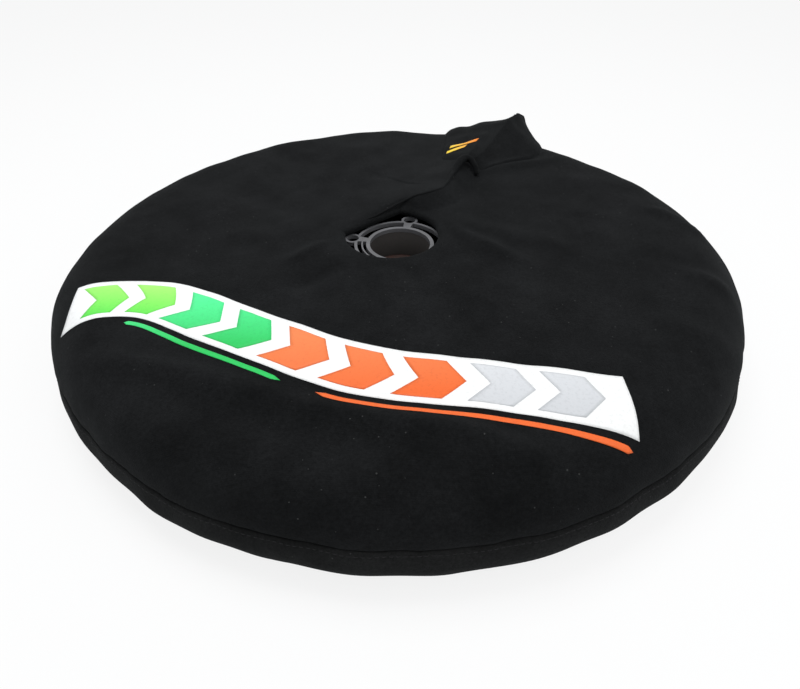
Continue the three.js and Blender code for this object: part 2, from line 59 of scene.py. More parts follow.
FOCAL_PIXELS = 594.0
CAMERA = (0.0, -0.5006, 0.3762)
FRAME_WIDTH = 800
SENSOR = 36.0


def camera():
    data = bpy.data.cameras.new("camera")
    data.sensor_width = SENSOR
    data.lens = FOCAL_PIXELS / FRAME_WIDTH * SENSOR
    data.clip_start, data.clip_end = 0.01, 50
    seen = bpy.data.objects.new("camera", data)
    seen.location = CAMERA
    seen.rotation_euler = (math.radians(90 - PITCH), 0, 0)
    bpy.context.scene.collection.objects.link(seen)
    bpy.context.scene.camera = seen


camera()

# Sizes in metres, from the frame where it has them
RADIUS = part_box("outer_band")[1][1]
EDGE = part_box("upper_side_curtain")[1][1]
SIDE_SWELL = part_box("outer_band")[1][0] - RADIUS
SWELL_START, SWELL_END = 0.060, 0.220
CORNER = 0.014
CORNER_TUCK = 0.008
TOP = 0.090
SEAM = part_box("upper_side_curtain")[0][2]
FLAT = EDGE - 0.045
CORNER_REACH = 0.040
BASE = RADIUS - CORNER_TUCK - CORNER_REACH
OPENING = 0.045
ROLL = 0.0036
HEM = OPENING + ROLL
SHIFT = np.array([-0.008, 0.009])
SHIFT_START, SHIFT_END = 0.060, 0.150
CLOTH = 0.0016
RING_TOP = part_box("hub_core")[1][2]


def smooth(low, high, x):
    t = np.clip((x - low) / (high - low), 0.0, 1.0)
    return t * t * (3 - 2 * t)


def widened(p):
    """Widens the cover to its left and right, where the band bulges out."""
    q = np.array(p, dtype=float)
    q[..., 0] *= 1 + SIDE_SWELL / RADIUS * smooth(SWELL_START, SWELL_END, np.hypot(q[..., 0], q[..., 1]))
    return q


def eased(points, count, window=61):
    """A line through the points, resampled evenly and rounded at its corners."""
    p = np.array(points, dtype=float)
    length = np.concatenate([[0], np.cumsum(np.linalg.norm(np.diff(p, axis=0), axis=1))])
    fine = np.linspace(0, length[-1], 400)
    line = np.stack([np.interp(fine, length, column) for column in p.T], axis=1)
    kernel = np.hanning(window)
    kernel /= kernel.sum()
    half = window // 2
    padded = np.concatenate([2 * line[0] - line[half:0:-1], line, 2 * line[-1] - line[-2:-half - 2:-1]])
    soft = np.stack([np.convolve(column, kernel, mode="valid") for column in padded.T], axis=1)
    at = np.linspace(0, 399, count)
    return np.stack([np.interp(at, np.arange(400), column) for column in soft.T], axis=1)


def beside(x, y, line):
    """Distance of points from a line in plan, the side they are on, and how far along they are."""
    best = np.full(np.shape(x), 1e9)
    side = np.ones(np.shape(x))
    along = np.zeros(np.shape(x))
    last = len(line) - 1
    for i in range(last):
        (ax, ay), (bx, by) = line[i][:2], line[i + 1][:2]
        dx, dy = bx - ax, by - ay
        t = np.clip(((x - ax) * dx + (y - ay) * dy) / (dx * dx + dy * dy), 0, 1)
        d = np.hypot(x - ax - t * dx, y - ay - t * dy)
        nearer = d < best
        best = np.where(nearer, d, best)
        side = np.where(nearer, np.where(dx * (y - ay) - dy * (x - ax) >= 0, 1.0, -1.0), side)
        along = np.where(nearer, (i + t) / last, along)
    return best, side, along


class Ripple:
    """Smooth noise: a sum of plane waves whose directions come from a fixed seed."""

    def __init__(self, seed, wavelength, count=14):
        rng = np.random.default_rng(seed)
        self.k = rng.normal(size=(count, 3))
        self.k /= np.linalg.norm(self.k, axis=1)[:, None]
        self.k *= (2 * np.pi / wavelength) * rng.uniform(0.6, 1.5, size=(count, 1))
        self.phase = rng.uniform(0, 2 * np.pi, size=count)
        self.scale = 1.6 / math.sqrt(count)

    def __call__(self, points):
        return self.scale * np.sin(points @ self.k.T + self.phase).sum(axis=-1)


SWELL = Ripple(3, 0.170)
CREASE = Ripple(11, 0.052)
PUCKER = Ripple(17, 0.024)

# Form of the upper curtain

# Free edge of the overlapping layer: place in plan and height over the layer below
FREE_EDGE = [(-0.058, 0.008, 0.0002), (-0.040, 0.028, 0.0016), (-0.025, 0.038, 0.0030),
             (-0.005, 0.054, 0.0055), (0.0155, 0.067, 0.0095), (0.034, 0.074, 0.0125), (0.044, 0.081, 0.0132),
             (0.050, 0.094, 0.0135), (0.054, 0.108, 0.0135), (0.061, 0.128, 0.0135), (0.067, 0.144, 0.0135),
             (0.076, 0.162, 0.0110), (0.092, 0.200, 0.0040), (0.110, 0.235, 0.0002)]
FREE_LINE = eased(FREE_EDGE, 90, 31)
LAYER_FADE = 0.042
LAYER_HIGH = 0.0135
FACE_WIDTH = 0.0190

# Soft folds: points in plan, height, width
FOLDS = [
    ([(-0.270, -0.170), (-0.200, -0.176), (-0.141, -0.194), (-0.053, -0.226), (0.036, -0.246),
      (0.095, -0.270), (0.120, -0.287)], 0.0046, 0.0095),
    ([(-0.210, -0.200), (-0.130, -0.222), (-0.040, -0.250), (0.040, -0.268)], -0.0056, 0.0180),
    ([(0.036, 0.034), (0.056, 0.008), (0.084, -0.018), (0.118, -0.050)], 0.0034, 0.0085),
    ([(0.050, 0.046), (0.074, 0.022), (0.110, 0.002), (0.165, -0.012)], 0.0014, 0.0120),
    ([(0.030, -0.040), (0.070, -0.090), (0.120, -0.130)], 0.0012, 0.0140),
    ([(-0.060, -0.004), (-0.082, -0.024), (-0.105, -0.052)], 0.0028, 0.0070),
    ([(-0.046, -0.036), (-0.070, -0.066), (-0.100, -0.090)], -0.0030, 0.0110),
    ([(-0.020, -0.048), (-0.014, -0.080), (-0.010, -0.115)], 0.0022, 0.0070),
    ([(0.004, -0.044), (0.016, -0.076), (0.022, -0.112)], -0.0018, 0.0100),
    ([(0.083, 0.146), (0.106, 0.157), (0.130, 0.163), (0.158, 0.169), (0.192, 0.192)], 0.0034, 0.0080),
    ([(0.150, 0.130), (0.200, 0.120), (0.255, 0.110)], 0.0014, 0.0160),
    ([(0.240, 0.060), (0.268, 0.030), (0.290, -0.010)], 0.0040, 0.0080),
    ([(0.230, -0.050), (0.268, -0.085), (0.292, -0.130)], 0.0026, 0.0090),
    ([(0.190, -0.120), (0.235, -0.150), (0.262, -0.185)], 0.0018, 0.0120),
    ([(-0.240, 0.060), (-0.180, 0.100), (-0.120, 0.140)], 0.0014, 0.0240),
    ([(-0.090, 0.190), (-0.040, 0.215), (0.010, 0.225)], 0.0012, 0.0180),
    ([(-0.180, 0.000), (-0.120, 0.008), (-0.070, 0.030)], 0.0014, 0.0160),
]


def layer_height(x, y):
    """Height of the overlapping layer over the one below, with the sloping face of its free edge."""
    d, side, along = beside(x, y, FREE_LINE)
    height = np.interp(along, np.linspace(0, 1, len(FREE_LINE)), FREE_LINE[:, 2])
    left = np.exp(-((d / LAYER_FADE) ** 1.5))
    width = FACE_WIDTH * (0.60 + 0.40 * height / LAYER_HIGH)
    face = np.clip(1 - d / width, 0, 1) ** 1.25
    beyond = smooth(0.0, 0.012, d) * (along >= 0.999)
    return height * np.where(side > 0, left, face) * (1 - beyond)


FOLD_ENDS = 0.15
CURTAIN_SWELL, CURTAIN_CREASE, CURTAIN_PUCKER = 0.0008, 0.00030, 0.00006
SAG, SAG_START, SAG_WIDTH = 0.0020, 0.06, 0.19


def relief(x, y, hem, layer=1.0):
    """How far the cloth stands above its plain form, by the shares of its folds and of the layer."""
    rise = np.zeros(np.shape(x))
    for line, height, width in FOLDS:
        d, _, along = beside(x, y, line)
        taper = smooth(0, 0.3, along) * smooth(1, 0.7, along)
        rise = rise + height * (FOLD_ENDS + (1 - FOLD_ENDS) * taper) * np.exp(-((d / width) ** 2))
    flat = np.stack([x, y, np.zeros(np.shape(x))], axis=-1)
    rise = rise + CURTAIN_SWELL * SWELL(flat) + CURTAIN_CREASE * CREASE(flat) + CURTAIN_PUCKER * PUCKER(flat)
    r = np.hypot(x, y)
    sag = -SAG * np.sin(np.pi * np.clip((r - SAG_START) / SAG_WIDTH, 0, 1))
    edge = 1 - smooth(FLAT + 0.012, EDGE - 0.002, r)
    return edge * (hem * (rise + sag) + layer * layer_height(x, y))


# The overlapping layer cuts straight across the far left of the opening
CHORD_ANGLE = math.radians(130)
CHORD_DISTANCE = 0.0290
CHORD_EASE = 0.0015
CHORD_FADE = 0.110


def on_plan(x, y):
    """Moves points of the plain round cover to where the cloth lies in plan."""
    r, angle = np.hypot(x, y), np.arctan2(y, x)
    turn = np.abs((angle - CHORD_ANGLE + np.pi) % (2 * np.pi) - np.pi)
    chord = CHORD_DISTANCE / np.maximum(np.cos(np.minimum(turn, 1.2)), 0.2)
    pull = np.minimum(chord - OPENING, 0)
    pull = -0.5 * (np.sqrt(pull ** 2 + CHORD_EASE ** 2) - pull) + 0.5 * CHORD_EASE
    new = r + pull * smooth(CHORD_FADE, HEM - ROLL, r)
    shift = 1 - smooth(SHIFT_START, SHIFT_END, r)
    return new * np.cos(angle) + SHIFT[0] * shift, new * np.sin(angle) + SHIFT[1] * shift


# Bulges and dents of the shoulder and band: amount, angle and spread in degrees
LEFT_BULGE, LEFT_ANGLE, LEFT_SPREAD = 0.0040, 196, 16
RIGHT_BULGE, RIGHT_ANGLE, RIGHT_SPREAD = 0.0030, -3, 11
FAR_DENTS = [(0.0045, 37, 14), (0.0040, 138, 24)]
BULGE_LOW = 0.010
BAND_SWELL, BAND_CREASE = 0.0004, 0.00030
SEAM_PUCKER, SEAM_PUCKER_REACH = 0.00022, 0.010


def bulge(x, y, z):
    """Uneven bulging of the band and shoulder, as an amount outwards."""
    p = np.stack([x, y, z], axis=-1)
    angle = np.degrees(np.arctan2(y, x))
    left = LEFT_BULGE * np.exp(-(((angle % 360) - LEFT_ANGLE) / LEFT_SPREAD) ** 2)
    right = RIGHT_BULGE * np.exp(-((angle - RIGHT_ANGLE) / RIGHT_SPREAD) ** 2)
    far = sum(depth * np.exp(-((angle - centre) / spread) ** 2) for depth, centre, spread in FAR_DENTS)
    out = smooth(BULGE_LOW, SEAM, z) * (left + right - far)
    out = out + BAND_SWELL * SWELL(p + 0.3) + BAND_CREASE * CREASE(p)
    return out + SEAM_PUCKER * PUCKER(p * 1.3) * np.exp(-(((z - SEAM) / SEAM_PUCKER_REACH) ** 2))


def drape(p):
    """Lays points of the curtain's plain section, turned round the axis, where the draped cloth is."""
    x, y, z = p[..., 0], p[..., 1], p[..., 2]
    r = np.hypot(x, y)
    px, py = on_plan(x, y)
    layer = 0.2 + 0.8 * smooth(OPENING + 0.001, OPENING + 0.012, r)
    rise = relief(px, py, smooth(OPENING + 0.006, OPENING + 0.030, r), layer)
    over = np.clip((r - FLAT) / (EDGE - FLAT), 0, 1)
    out, up = over / (EDGE - FLAT), np.sqrt(1 - over ** 2) / (TOP - SEAM)
    size = np.hypot(out, up)
    out, up = out / size, up / size
    low = smooth(FLAT, EDGE - 0.006, r)
    stretch = 1 + (rise * out + low * bulge(px, py, z)) / np.maximum(r, 0.03)
    return widened(np.stack([px * stretch, py * stretch, z + rise * up], axis=-1))


def on_cloth(x, y, lift):
    """Points on the outside of the draped curtain over points of the plan, raised by a lift."""
    r = np.hypot(x, y)
    over = np.clip((r - FLAT) / (EDGE - FLAT), 0, 0.98)
    z = SEAM + (TOP - SEAM) * np.sqrt(1 - over ** 2)
    p = drape(np.stack([x, y, z], axis=-1))
    out = over / (EDGE - FLAT)
    up = np.sqrt(1 - over ** 2) / (TOP - SEAM)
    size = np.hypot(out, up)
    p[..., 0] += lift * out / size * x / np.maximum(r, 1e-6)
    p[..., 1] += lift * out / size * y / np.maximum(r, 1e-6)
    p[..., 2] += lift * up / size
    return p


# Mesh making

def arc_points(centre, reach, start, end, count):
    """Points on an ellipse in the section, by angle in degrees."""
    a = np.radians(np.linspace(start, end, count))
    return [(centre[0] + reach[0] * math.cos(t), centre[1] + reach[1] * math.sin(t)) for t in a]


def band_radius(z):
    t = np.clip((np.asarray(z, dtype=float) - CORNER) / (SEAM - CORNER), 0, 1)
    return RADIUS - (1 - np.sin(np.pi * t)) * np.where(t < 0.5, CORNER_TUCK, RADIUS - EDGE)


def piece_from(name, verts, faces, material):
    mesh = bpy.data.meshes.new(name)
    mesh.from_pydata([tuple(v) for v in np.asarray(verts).reshape(-1, 3)], [], faces)
    bm = bmesh.new()
    bm.from_mesh(mesh)
    bmesh.ops.recalc_face_normals(bm, faces=bm.faces[:])
    bm.to_mesh(mesh)
    bm.free()
    for polygon in mesh.polygons:
        polygon.use_smooth = True
    piece = bpy.data.objects.new(name, mesh)
    bpy.context.scene.collection.objects.link(piece)
    mesh.materials.append(material)
    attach(piece, "root")
    return piece


def grid_faces(rows, columns, closed):
    """Faces between the rows of a grid of corners, whose last column may join its first."""
    faces = []
    for i in range(rows - 1):
        for j in range(columns if closed else columns - 1):
            k = (j + 1) % columns
            faces.append((i * columns + j, (i + 1) * columns + j, (i + 1) * columns + k, i * columns + k))
    return faces


def turned_faces(rows, columns, ring):
    """Faces of a section turned all the way round, whose last row may join its first."""
    faces = grid_faces(rows, columns, True)
    last = (rows - 1) * columns
    if ring:
        faces += [(last + j, j, (j + 1) % columns, last + (j + 1) % columns) for j in range(columns)]
    return faces


def revolved(name, section, material, angles=192, place=widened, ring=True):
    """A section of [radius, height] points turned round the vertical axis, closed on itself or open."""
    angle = np.linspace(0, 2 * np.pi, angles, endpoint=False) if isinstance(angles, int) else angles
    section = np.array(section)
    r, z = section[:, 0][:, None], section[:, 1][:, None]
    p = np.stack([r * np.cos(angle), r * np.sin(angle), z + 0 * angle], axis=-1)
    return piece_from(name, place(p), turned_faces(len(section), len(angle), ring), material)


def baked(piece):
    """Applies a piece's modifiers to its mesh."""
    graph = bpy.context.evaluated_depsgraph_get()
    mesh = bpy.data.meshes.new_from_object(piece.evaluated_get(graph))
    piece.modifiers.clear()
    old = piece.data
    piece.data = mesh
    bpy.data.meshes.remove(old)
    return piece


def thicken(piece, thickness, side=-1):
    """Gives a sheet its thickness, inwards, and bakes it into the mesh."""
    shell = piece.modifiers.new("thickness", "SOLIDIFY")
    shell.thickness = thickness
    shell.offset = side
    return baked(piece)


def tube(name, line, radii, material, sides=12):
    """A tube along a line of points, with a radius for each point and a short point at each end."""
    line = np.array(line)
    along = np.gradient(line, axis=0)
    along /= np.linalg.norm(along, axis=1)[:, None]
    across = np.cross(along, (0, 0, 1))
    across /= np.linalg.norm(across, axis=1)[:, None]
    up = np.cross(across, along)
    turn = np.linspace(0, 2 * np.pi, sides, endpoint=False)
    rings = [line[i] + radii[i] * (np.cos(turn)[:, None] * across[i] + np.sin(turn)[:, None] * up[i])
             for i in range(len(line))]
    verts = [line[0] - along[0] * radii[0] * 0.6] + [v for ring in rings for v in ring]
    verts.append(line[-1] + along[-1] * radii[-1] * 0.6)
    faces = [tuple(1 + k for k in face) for face in grid_faces(len(line), sides, True)]
    last = len(verts) - 1
    for s in range(sides):
        n = (s + 1) % sides
        faces.append((0, 1 + s, 1 + n))
        faces.append((last, last - sides + n, last - sides + s))
    return piece_from(name, verts, faces, material)


# Materials

def new_material(name):
    material = bpy.data.materials.new(name)
    material.use_nodes = True
    tree = material.node_tree
    tree.nodes.clear()
    shader = tree.nodes.new("ShaderNodeBsdfPrincipled")
    output = tree.nodes.new("ShaderNodeOutputMaterial")
    tree.links.new(shader.outputs["BSDF"], output.inputs["Surface"])
    return material, tree, shader


def node(tree, kind, inputs=None, **settings):
    made = tree.nodes.new("ShaderNode" + kind)
    for key, value in settings.items():
        setattr(made, key, value)
    for key, value in (inputs or {}).items():
        if isinstance(value, bpy.types.NodeSocket):
            tree.links.new(value, made.inputs[key])
        else:
            made.inputs[key].default_value = value
    return made


def object_place(tree):
    return node(tree, "TexCoord").outputs["Object"]


def ramp(tree, factor, stops):
    made = node(tree, "ValToRGB", {"Fac": factor})
    ends = made.color_ramp.elements
    while len(ends) < len(stops):
        ends.new(0.5)
    for element, (position, colour) in zip(ends, stops):
        element.position = position
        element.color = (*colour, 1)
    return made.outputs["Color"]


def mixed(tree, factor, a, b, blend="MIX"):
    made = node(tree, "Mix", data_type="RGBA", blend_type=blend)
    for index, value in ((0, factor), (6, a), (7, b)):
        if isinstance(value, bpy.types.NodeSocket):
            tree.links.new(value, made.inputs[index])
        else:
            made.inputs[index].default_value = value if index == 0 else (*value, 1)
    return made.outputs[2]


def maths(tree, operation, a, b=0.0):
    made = node(tree, "Math", operation=operation)
    for index, value in enumerate((a, b)):
        if isinstance(value, bpy.types.NodeSocket):
            tree.links.new(value, made.inputs[index])
        else:
            made.inputs[index].default_value = value
    return made.outputs[0]


def knit_height(tree, place, pitch):
    """Height of a fine knit: rows of loops at the pitch, with fuzz over them."""
    rows = node(tree, "TexWave", {"Vector": place, "Scale": 0.314 / pitch, "Distortion": 1.5, "Detail": 1.0,
                                  "Detail Scale": 2.0}, wave_type="BANDS", bands_direction="X")
    lines = node(tree, "TexWave", {"Vector": place, "Scale": 0.24 / pitch, "Distortion": 1.5, "Detail": 1.0,
                                   "Detail Scale": 2.0}, wave_type="BANDS", bands_direction="Y")
    fuzz = node(tree, "TexNoise", {"Vector": place, "Scale": 0.6 / pitch, "Detail": 4.0, "Roughness": 0.7})
    woven = maths(tree, "MULTIPLY", rows.outputs["Fac"], lines.outputs["Fac"])
    fuzzy = maths(tree, "MULTIPLY", fuzz.outputs["Fac"], 1.6)
    return maths(tree, "ADD", maths(tree, "MULTIPLY", woven, 0.5), fuzzy)


KNIT_PITCH = 0.0008
LINT = (0.050, 0.051, 0.050)


def cloth_material(name, dark, light, pitch=KNIT_PITCH, sheen=0.02, lint=0.8, strength=0.6):
    """Black stretch cloth: knit bump, soft mottling, a few lint specks and a faint sheen."""
    material, tree, shader = new_material(name)
    place = object_place(tree)
    mottle = node(tree, "TexNoise", {"Vector": place, "Scale": 16.0, "Detail": 6.0, "Roughness": 0.7})
    grain = node(tree, "TexNoise", {"Vector": place, "Scale": 420.0, "Detail": 4.0, "Roughness": 0.8})
    tone = maths(tree, "MULTIPLY", mottle.outputs["Fac"], grain.outputs["Fac"])
    base = ramp(tree, tone, [(0.14, dark), (0.38, light)])
    specks = node(tree, "TexVoronoi", {"Vector": place, "Scale": 170.0, "Randomness": 1.0}, feature="F1")
    chance = node(tree, "SeparateColor", {"Color": specks.outputs["Color"]})
    size = maths(tree, "MULTIPLY", chance.outputs["Green"], 0.11)
    small = maths(tree, "LESS_THAN", specks.outputs["Distance"], size)
    few = maths(tree, "GREATER_THAN", chance.outputs["Red"], 0.45)
    fleck = maths(tree, "MULTIPLY", maths(tree, "MULTIPLY", small, few), lint)
    tree.links.new(mixed(tree, fleck, base, LINT), shader.inputs["Base Color"])
    shader.inputs["Roughness"].default_value = 0.95
    shader.inputs["Specular IOR Level"].default_value = 0.06
    shader.inputs["Sheen Weight"].default_value = sheen
    shader.inputs["Sheen Roughness"].default_value = 0.5
    shader.inputs["Sheen Tint"].default_value = (0.72, 0.80, 0.84, 1)
    knit = knit_height(tree, place, pitch)
    bump = node(tree, "Bump", {"Strength": strength, "Distance": 0.0005, "Height": knit})
    tree.links.new(bump.outputs["Normal"], shader.inputs["Normal"])
    return material


def ink_material(name, low, high, axis=1, span=(-0.2, -0.1), roughness=0.5):
    """Screen print: a flat film with the knit showing through, shaded from one tone to the other."""
    material, tree, shader = new_material(name)
    place = object_place(tree)
    parts = node(tree, "SeparateXYZ", {"Vector": place})
    along = maths(tree, "DIVIDE", maths(tree, "SUBTRACT", parts.outputs[axis], span[0]), span[1] - span[0])
    wear = node(tree, "TexNoise", {"Vector": place, "Scale": 420.0, "Detail": 3.0, "Roughness": 0.7})
    colour = ramp(tree, along, [(0.0, low), (1.0, high)])
    worn = ramp(tree, wear.outputs["Fac"], [(0.30, (0.90, 0.90, 0.90)), (0.50, (1, 1, 1))])
    tree.links.new(mixed(tree, 1.0, colour, worn, "MULTIPLY"), shader.inputs["Base Color"])
    shader.inputs["Roughness"].default_value = roughness
    shader.inputs["Specular IOR Level"].default_value = 0.3
    knit = knit_height(tree, place, KNIT_PITCH)
    bump = node(tree, "Bump", {"Strength": 0.2, "Distance": 0.0003, "Height": knit})
    tree.links.new(bump.outputs["Normal"], shader.inputs["Normal"])
    return material


def metal_material(name, colour, roughness, metallic):
    """Grey coated casting: satin with a fine grain and darker patches."""
    material, tree, shader = new_material(name)
    place = object_place(tree)
    grain = node(tree, "TexNoise", {"Vector": place, "Scale": 700.0, "Detail": 4.0, "Roughness": 0.6})
    patches = node(tree, "TexNoise", {"Vector": place, "Scale": 60.0, "Detail": 3.0})
    darker = tuple(c * 0.75 for c in colour)
    tone = ramp(tree, patches.outputs["Fac"], [(0.35, darker), (0.65, colour)])
    tree.links.new(tone, shader.inputs["Base Color"])
    rough = node(tree, "MapRange", {"Value": grain.outputs["Fac"], "To Min": roughness - 0.08,
                                    "To Max": roughness + 0.12})
    tree.links.new(rough.outputs[0], shader.inputs["Roughness"])
    shader.inputs["Metallic"].default_value = metallic
    bump = node(tree, "Bump", {"Strength": 0.3, "Distance": 0.0002, "Height": grain.outputs["Fac"]})
    tree.links.new(bump.outputs["Normal"], shader.inputs["Normal"])
    return material


def plain_material(name, colour, roughness, scale=400.0, depth=0.0002, spread=0.25):
    """Rubber, plastic or felt: a mottled tone with a fine grain."""
    material, tree, shader = new_material(name)
    place = object_place(tree)
    grain = node(tree, "TexNoise", {"Vector": place, "Scale": scale, "Detail": 4.0, "Roughness": 0.65})
    low = tuple(c * (1 - spread) for c in colour)
    high = tuple(c * (1 + spread) for c in colour)
    tree.links.new(ramp(tree, grain.outputs["Fac"], [(0.3, low), (0.7, high)]), shader.inputs["Base Color"])
    shader.inputs["Roughness"].default_value = roughness
    shader.inputs["Specular IOR Level"].default_value = 0.3
    bump = node(tree, "Bump", {"Strength": 0.4, "Distance": depth, "Height": grain.outputs["Fac"]})
    tree.links.new(bump.outputs["Normal"], shader.inputs["Normal"])
    return material


KNIT = cloth_material("black_knit", (0.0032, 0.0034, 0.0036), (0.0106, 0.0111, 0.0117))
# Band cloth: the same black knit with its colour painted lighter, as painted light from the floor on the
# band's outward wall
BAND_KNIT_PAINTED_LIGHTER = cloth_material("black_band_painted_lighter", (0.0058, 0.0060, 0.0060), (0.0170, 0.0172, 0.0172))
WEBBING = cloth_material("black_webbing", (0.0050, 0.0050, 0.0050), (0.0110, 0.0110, 0.0110), 0.0016,
                         lint=0.0)
LINING = cloth_material("dark_lining", (0.028, 0.028, 0.030), (0.055, 0.055, 0.058), 0.0014, lint=0.0)
FELT = plain_material("grey_felt", (0.24, 0.25, 0.26), 0.95, scale=260.0, depth=0.0008)
SILICONE = plain_material("red_silicone", (0.30, 0.035, 0.02), 0.45)
RUBBER = plain_material("black_rubber", (0.012, 0.011, 0.010), 0.65)
SEAL = plain_material("brown_seal", (0.038, 0.011, 0.006), 0.65, scale=90.0, spread=0.55)
BARREL = plain_material("dark_bore", (0.0055, 0.0038, 0.0030), 0.75, spread=0.35)
PLASTIC = plain_material("black_plastic", (0.012, 0.012, 0.012), 0.5)
CASTING = metal_material("grey_casting", (0.115, 0.115, 0.122), 0.45, 0.0)
THREAD = plain_material("black_thread", (0.011, 0.011, 0.012), 0.8)
WHITE = ink_material("white_print", (0.84, 0.84, 0.83), (0.90, 0.90, 0.90))
LIME = ink_material("lime_print", (0.10, 0.72, 0.07), (0.36, 0.92, 0.16), 1, (-0.125, -0.085))
GREEN = ink_material("green_print", (0.015, 0.52, 0.10), (0.08, 0.86, 0.30), 1, (-0.16, -0.10))
ORANGE = ink_material("orange_print", (0.80, 0.13, 0.02), (0.86, 0.22, 0.07), 1, (-0.21, -0.15))
PALE = ink_material("pale_print", (0.55, 0.56, 0.58), (0.66, 0.67, 0.69), 1, (-0.24, -0.18))
AMBER = ink_material("amber_print", (0.90, 0.62, 0.04), (0.86, 0.16, 0.02), 0, (0.060, 0.098))


# Upper side curtain

def spaced(start, end, step):
    """Even steps from start up to, but without, end."""
    count = max(1, int(round(abs(end - start) / step)))
    return list(start + (end - start) * np.arange(count) / count)


def curtain_section():
    roll = arc_points((HEM, TOP - ROLL), (ROLL, ROLL), -20, -270, 11)
    flat = [(r, TOP) for r in spaced(HEM, 0.165, 0.0022) + spaced(0.165, FLAT, 0.0050)]
    shoulder = arc_points((FLAT, SEAM), (EDGE - FLAT, TOP - SEAM), 90, 0, 21)
    tuck = [(EDGE - 0.0002, SEAM - 0.0006), (EDGE - 0.0014, SEAM - 0.0011), (EDGE - 0.0050, SEAM - 0.0008)]
    return np.array(roll + flat[1:] + shoulder + tuck)


def curtain_angles():
    """Angles round the curtain, closer together where the free edge and the flap are."""
    dense = np.radians(spaced(48, 112, 0.72))
    rest = np.radians(spaced(112, 408, 0.90))
    return np.concatenate([dense, rest])


curtain = revolved("curtain_cloth", curtain_section(), KNIT, curtain_angles(), drape,
                   ring=False)
thicken(curtain, CLOTH)
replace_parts(curtain, "upper_side_curtain")

ELASTIC = 0.0014
elastic_turn = arc_points((HEM, TOP - ROLL), (ELASTIC, ELASTIC), 0, 330, 12)
upper_elastic = revolved("upper_elastic", elastic_turn, RUBBER, 160, drape)
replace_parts(upper_elastic, "upper_hem_elastic")


# Outer band: bulged wall, sewn to the curtain at the seam above and turned under the cover below

# Wrinkles of the band: angle, height, depth
WRINKLES = [(8, 0.036, 0.0012), (-2, 0.028, 0.0015), (-12, 0.020, 0.0018), (-20, 0.031, 0.0017),
            (-27, 0.022, 0.0020), (-34, 0.034, 0.0016), (-41, 0.022, 0.0015), (-52, 0.030, 0.0010),
            (-96, 0.024, 0.0008), (-121, 0.030, 0.0008), (-150, 0.026, 0.0012), (-163, 0.030, 0.0014),
            (-176, 0.024, 0.0012), (150, 0.030, 0.0010), (120, 0.026, 0.0010), (90, 0.030, 0.0008),
            (30, 0.028, 0.0010)]
WRINKLE_SHARE = 0.6
WRINKLE_HALF_WIDTH, WRINKLE_HALF_HEIGHT = 3.0, 0.012
WRINKLE_LEAN = 300


def band_place(p):
    x, y, z = p[..., 0], p[..., 1], p[..., 2]
    r = np.hypot(x, y)
    angle = np.degrees(np.arctan2(y, x))
    wall = smooth(0.003, 0.014, z)
    below = smooth(SEAM, SEAM - 0.008, z)
    out = bulge(x, y, z)
    for centre, height, depth in WRINKLES:
        lean = (angle - centre + (z - height) * WRINKLE_LEAN) / WRINKLE_HALF_WIDTH
        rise = (z - height) / WRINKLE_HALF_HEIGHT
        out = out + WRINKLE_SHARE * depth * np.exp(-(lean ** 2) - rise ** 2) * below
    stretch = 1 + wall * out / r
    return widened(np.stack([x * stretch, y * stretch, z], axis=-1))


def band_section():
    z = np.linspace(SEAM - 0.0018, CORNER, 14)
    wall = np.stack([band_radius(z) - 0.0004 * smooth(SEAM - 0.006, SEAM, z), z], axis=1)
    corner = arc_points((BASE, CORNER), (CORNER_REACH, CORNER), 0, -90, 16)
    lip = [(EDGE - 0.0060, SEAM - 0.0028), (EDGE - 0.0030, SEAM - 0.0018)]
    return np.concatenate([lip, wall, corner[1:]])


band = revolved("band_cloth", band_section(), BAND_KNIT_PAINTED_LIGHTER, 480, band_place, ring=False)
thicken(band, CLOTH)
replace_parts(band, "outer_band")

STITCH_PITCH = 0.0042
STITCH_LENGTH = 0.0029
STITCH_SIZE = 0.00055
STITCH_HEIGHT = SEAM - 0.0048


def stitches():
    """Short threads one after another along the band, just below the seam."""
    verts, faces = [], []
    radius = float(band_radius(STITCH_HEIGHT)) - 0.0002
    count = int(2 * np.pi * radius / STITCH_PITCH)
    sides = 5
    for i in range(count):
        base = len(verts)
        for t, bow in ((-1, 0.0), (-0.6, 0.8), (0, 1.0), (0.6, 0.8), (1, 0.0)):
            turn = i * 2 * np.pi / count + t * STITCH_LENGTH / 2 / radius
            for s in range(sides):
                a = s * 2 * np.pi / sides
                rr = radius + STITCH_SIZE * (bow - 0.4 + 0.5 * math.cos(a))
                verts.append((rr * math.cos(turn), rr * math.sin(turn),
                              STITCH_HEIGHT + 0.5 * STITCH_SIZE * math.sin(a)))
        faces += [tuple(base + k for k in face) for face in grid_faces(5, sides, True)]
        faces.append(tuple(base + s for s in range(sides)))
        faces.append(tuple(base + 4 * sides + s for s in range(sides)))
    piece_from("seam_stitches", band_place(np.array(verts)), faces, THREAD)


stitches()


# Lower side curtain, flat on the floor under the cover, with its own rolled hem

def lower_place(p):
    x, y, z = p[..., 0], p[..., 1], p[..., 2]
    flat = np.stack([x, y, 0 * x], axis=-1)
    lift = 0.0005 * (1 + CREASE(flat)) * smooth(HEM + 0.004, HEM + 0.030, np.hypot(x, y))
    return widened(np.stack([x, y, z + np.clip(lift, 0, 0.0012)], axis=-1))


lower_section = np.concatenate([
    arc_points((HEM, ROLL), (ROLL, ROLL), 30, 270, 14),
    [(r, 0) for r in spaced(HEM, BASE - 0.0006, 0.006)[1:] + [BASE - 0.0006]],
])
lower = revolved("lower_curtain_cloth", lower_section, KNIT, 240, lower_place, ring=False)
thicken(lower, CLOTH)
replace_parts(lower, "lower_side_curtain")

lower_turn = arc_points((HEM, ROLL), (ELASTIC, ELASTIC), 0, 330, 12)
lower_elastic = revolved("lower_elastic", lower_turn, RUBBER, 160)
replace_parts(lower_elastic, "lower_hem_elastic")


# Heated blanket: quilted insulation, carrier and lining behind the band

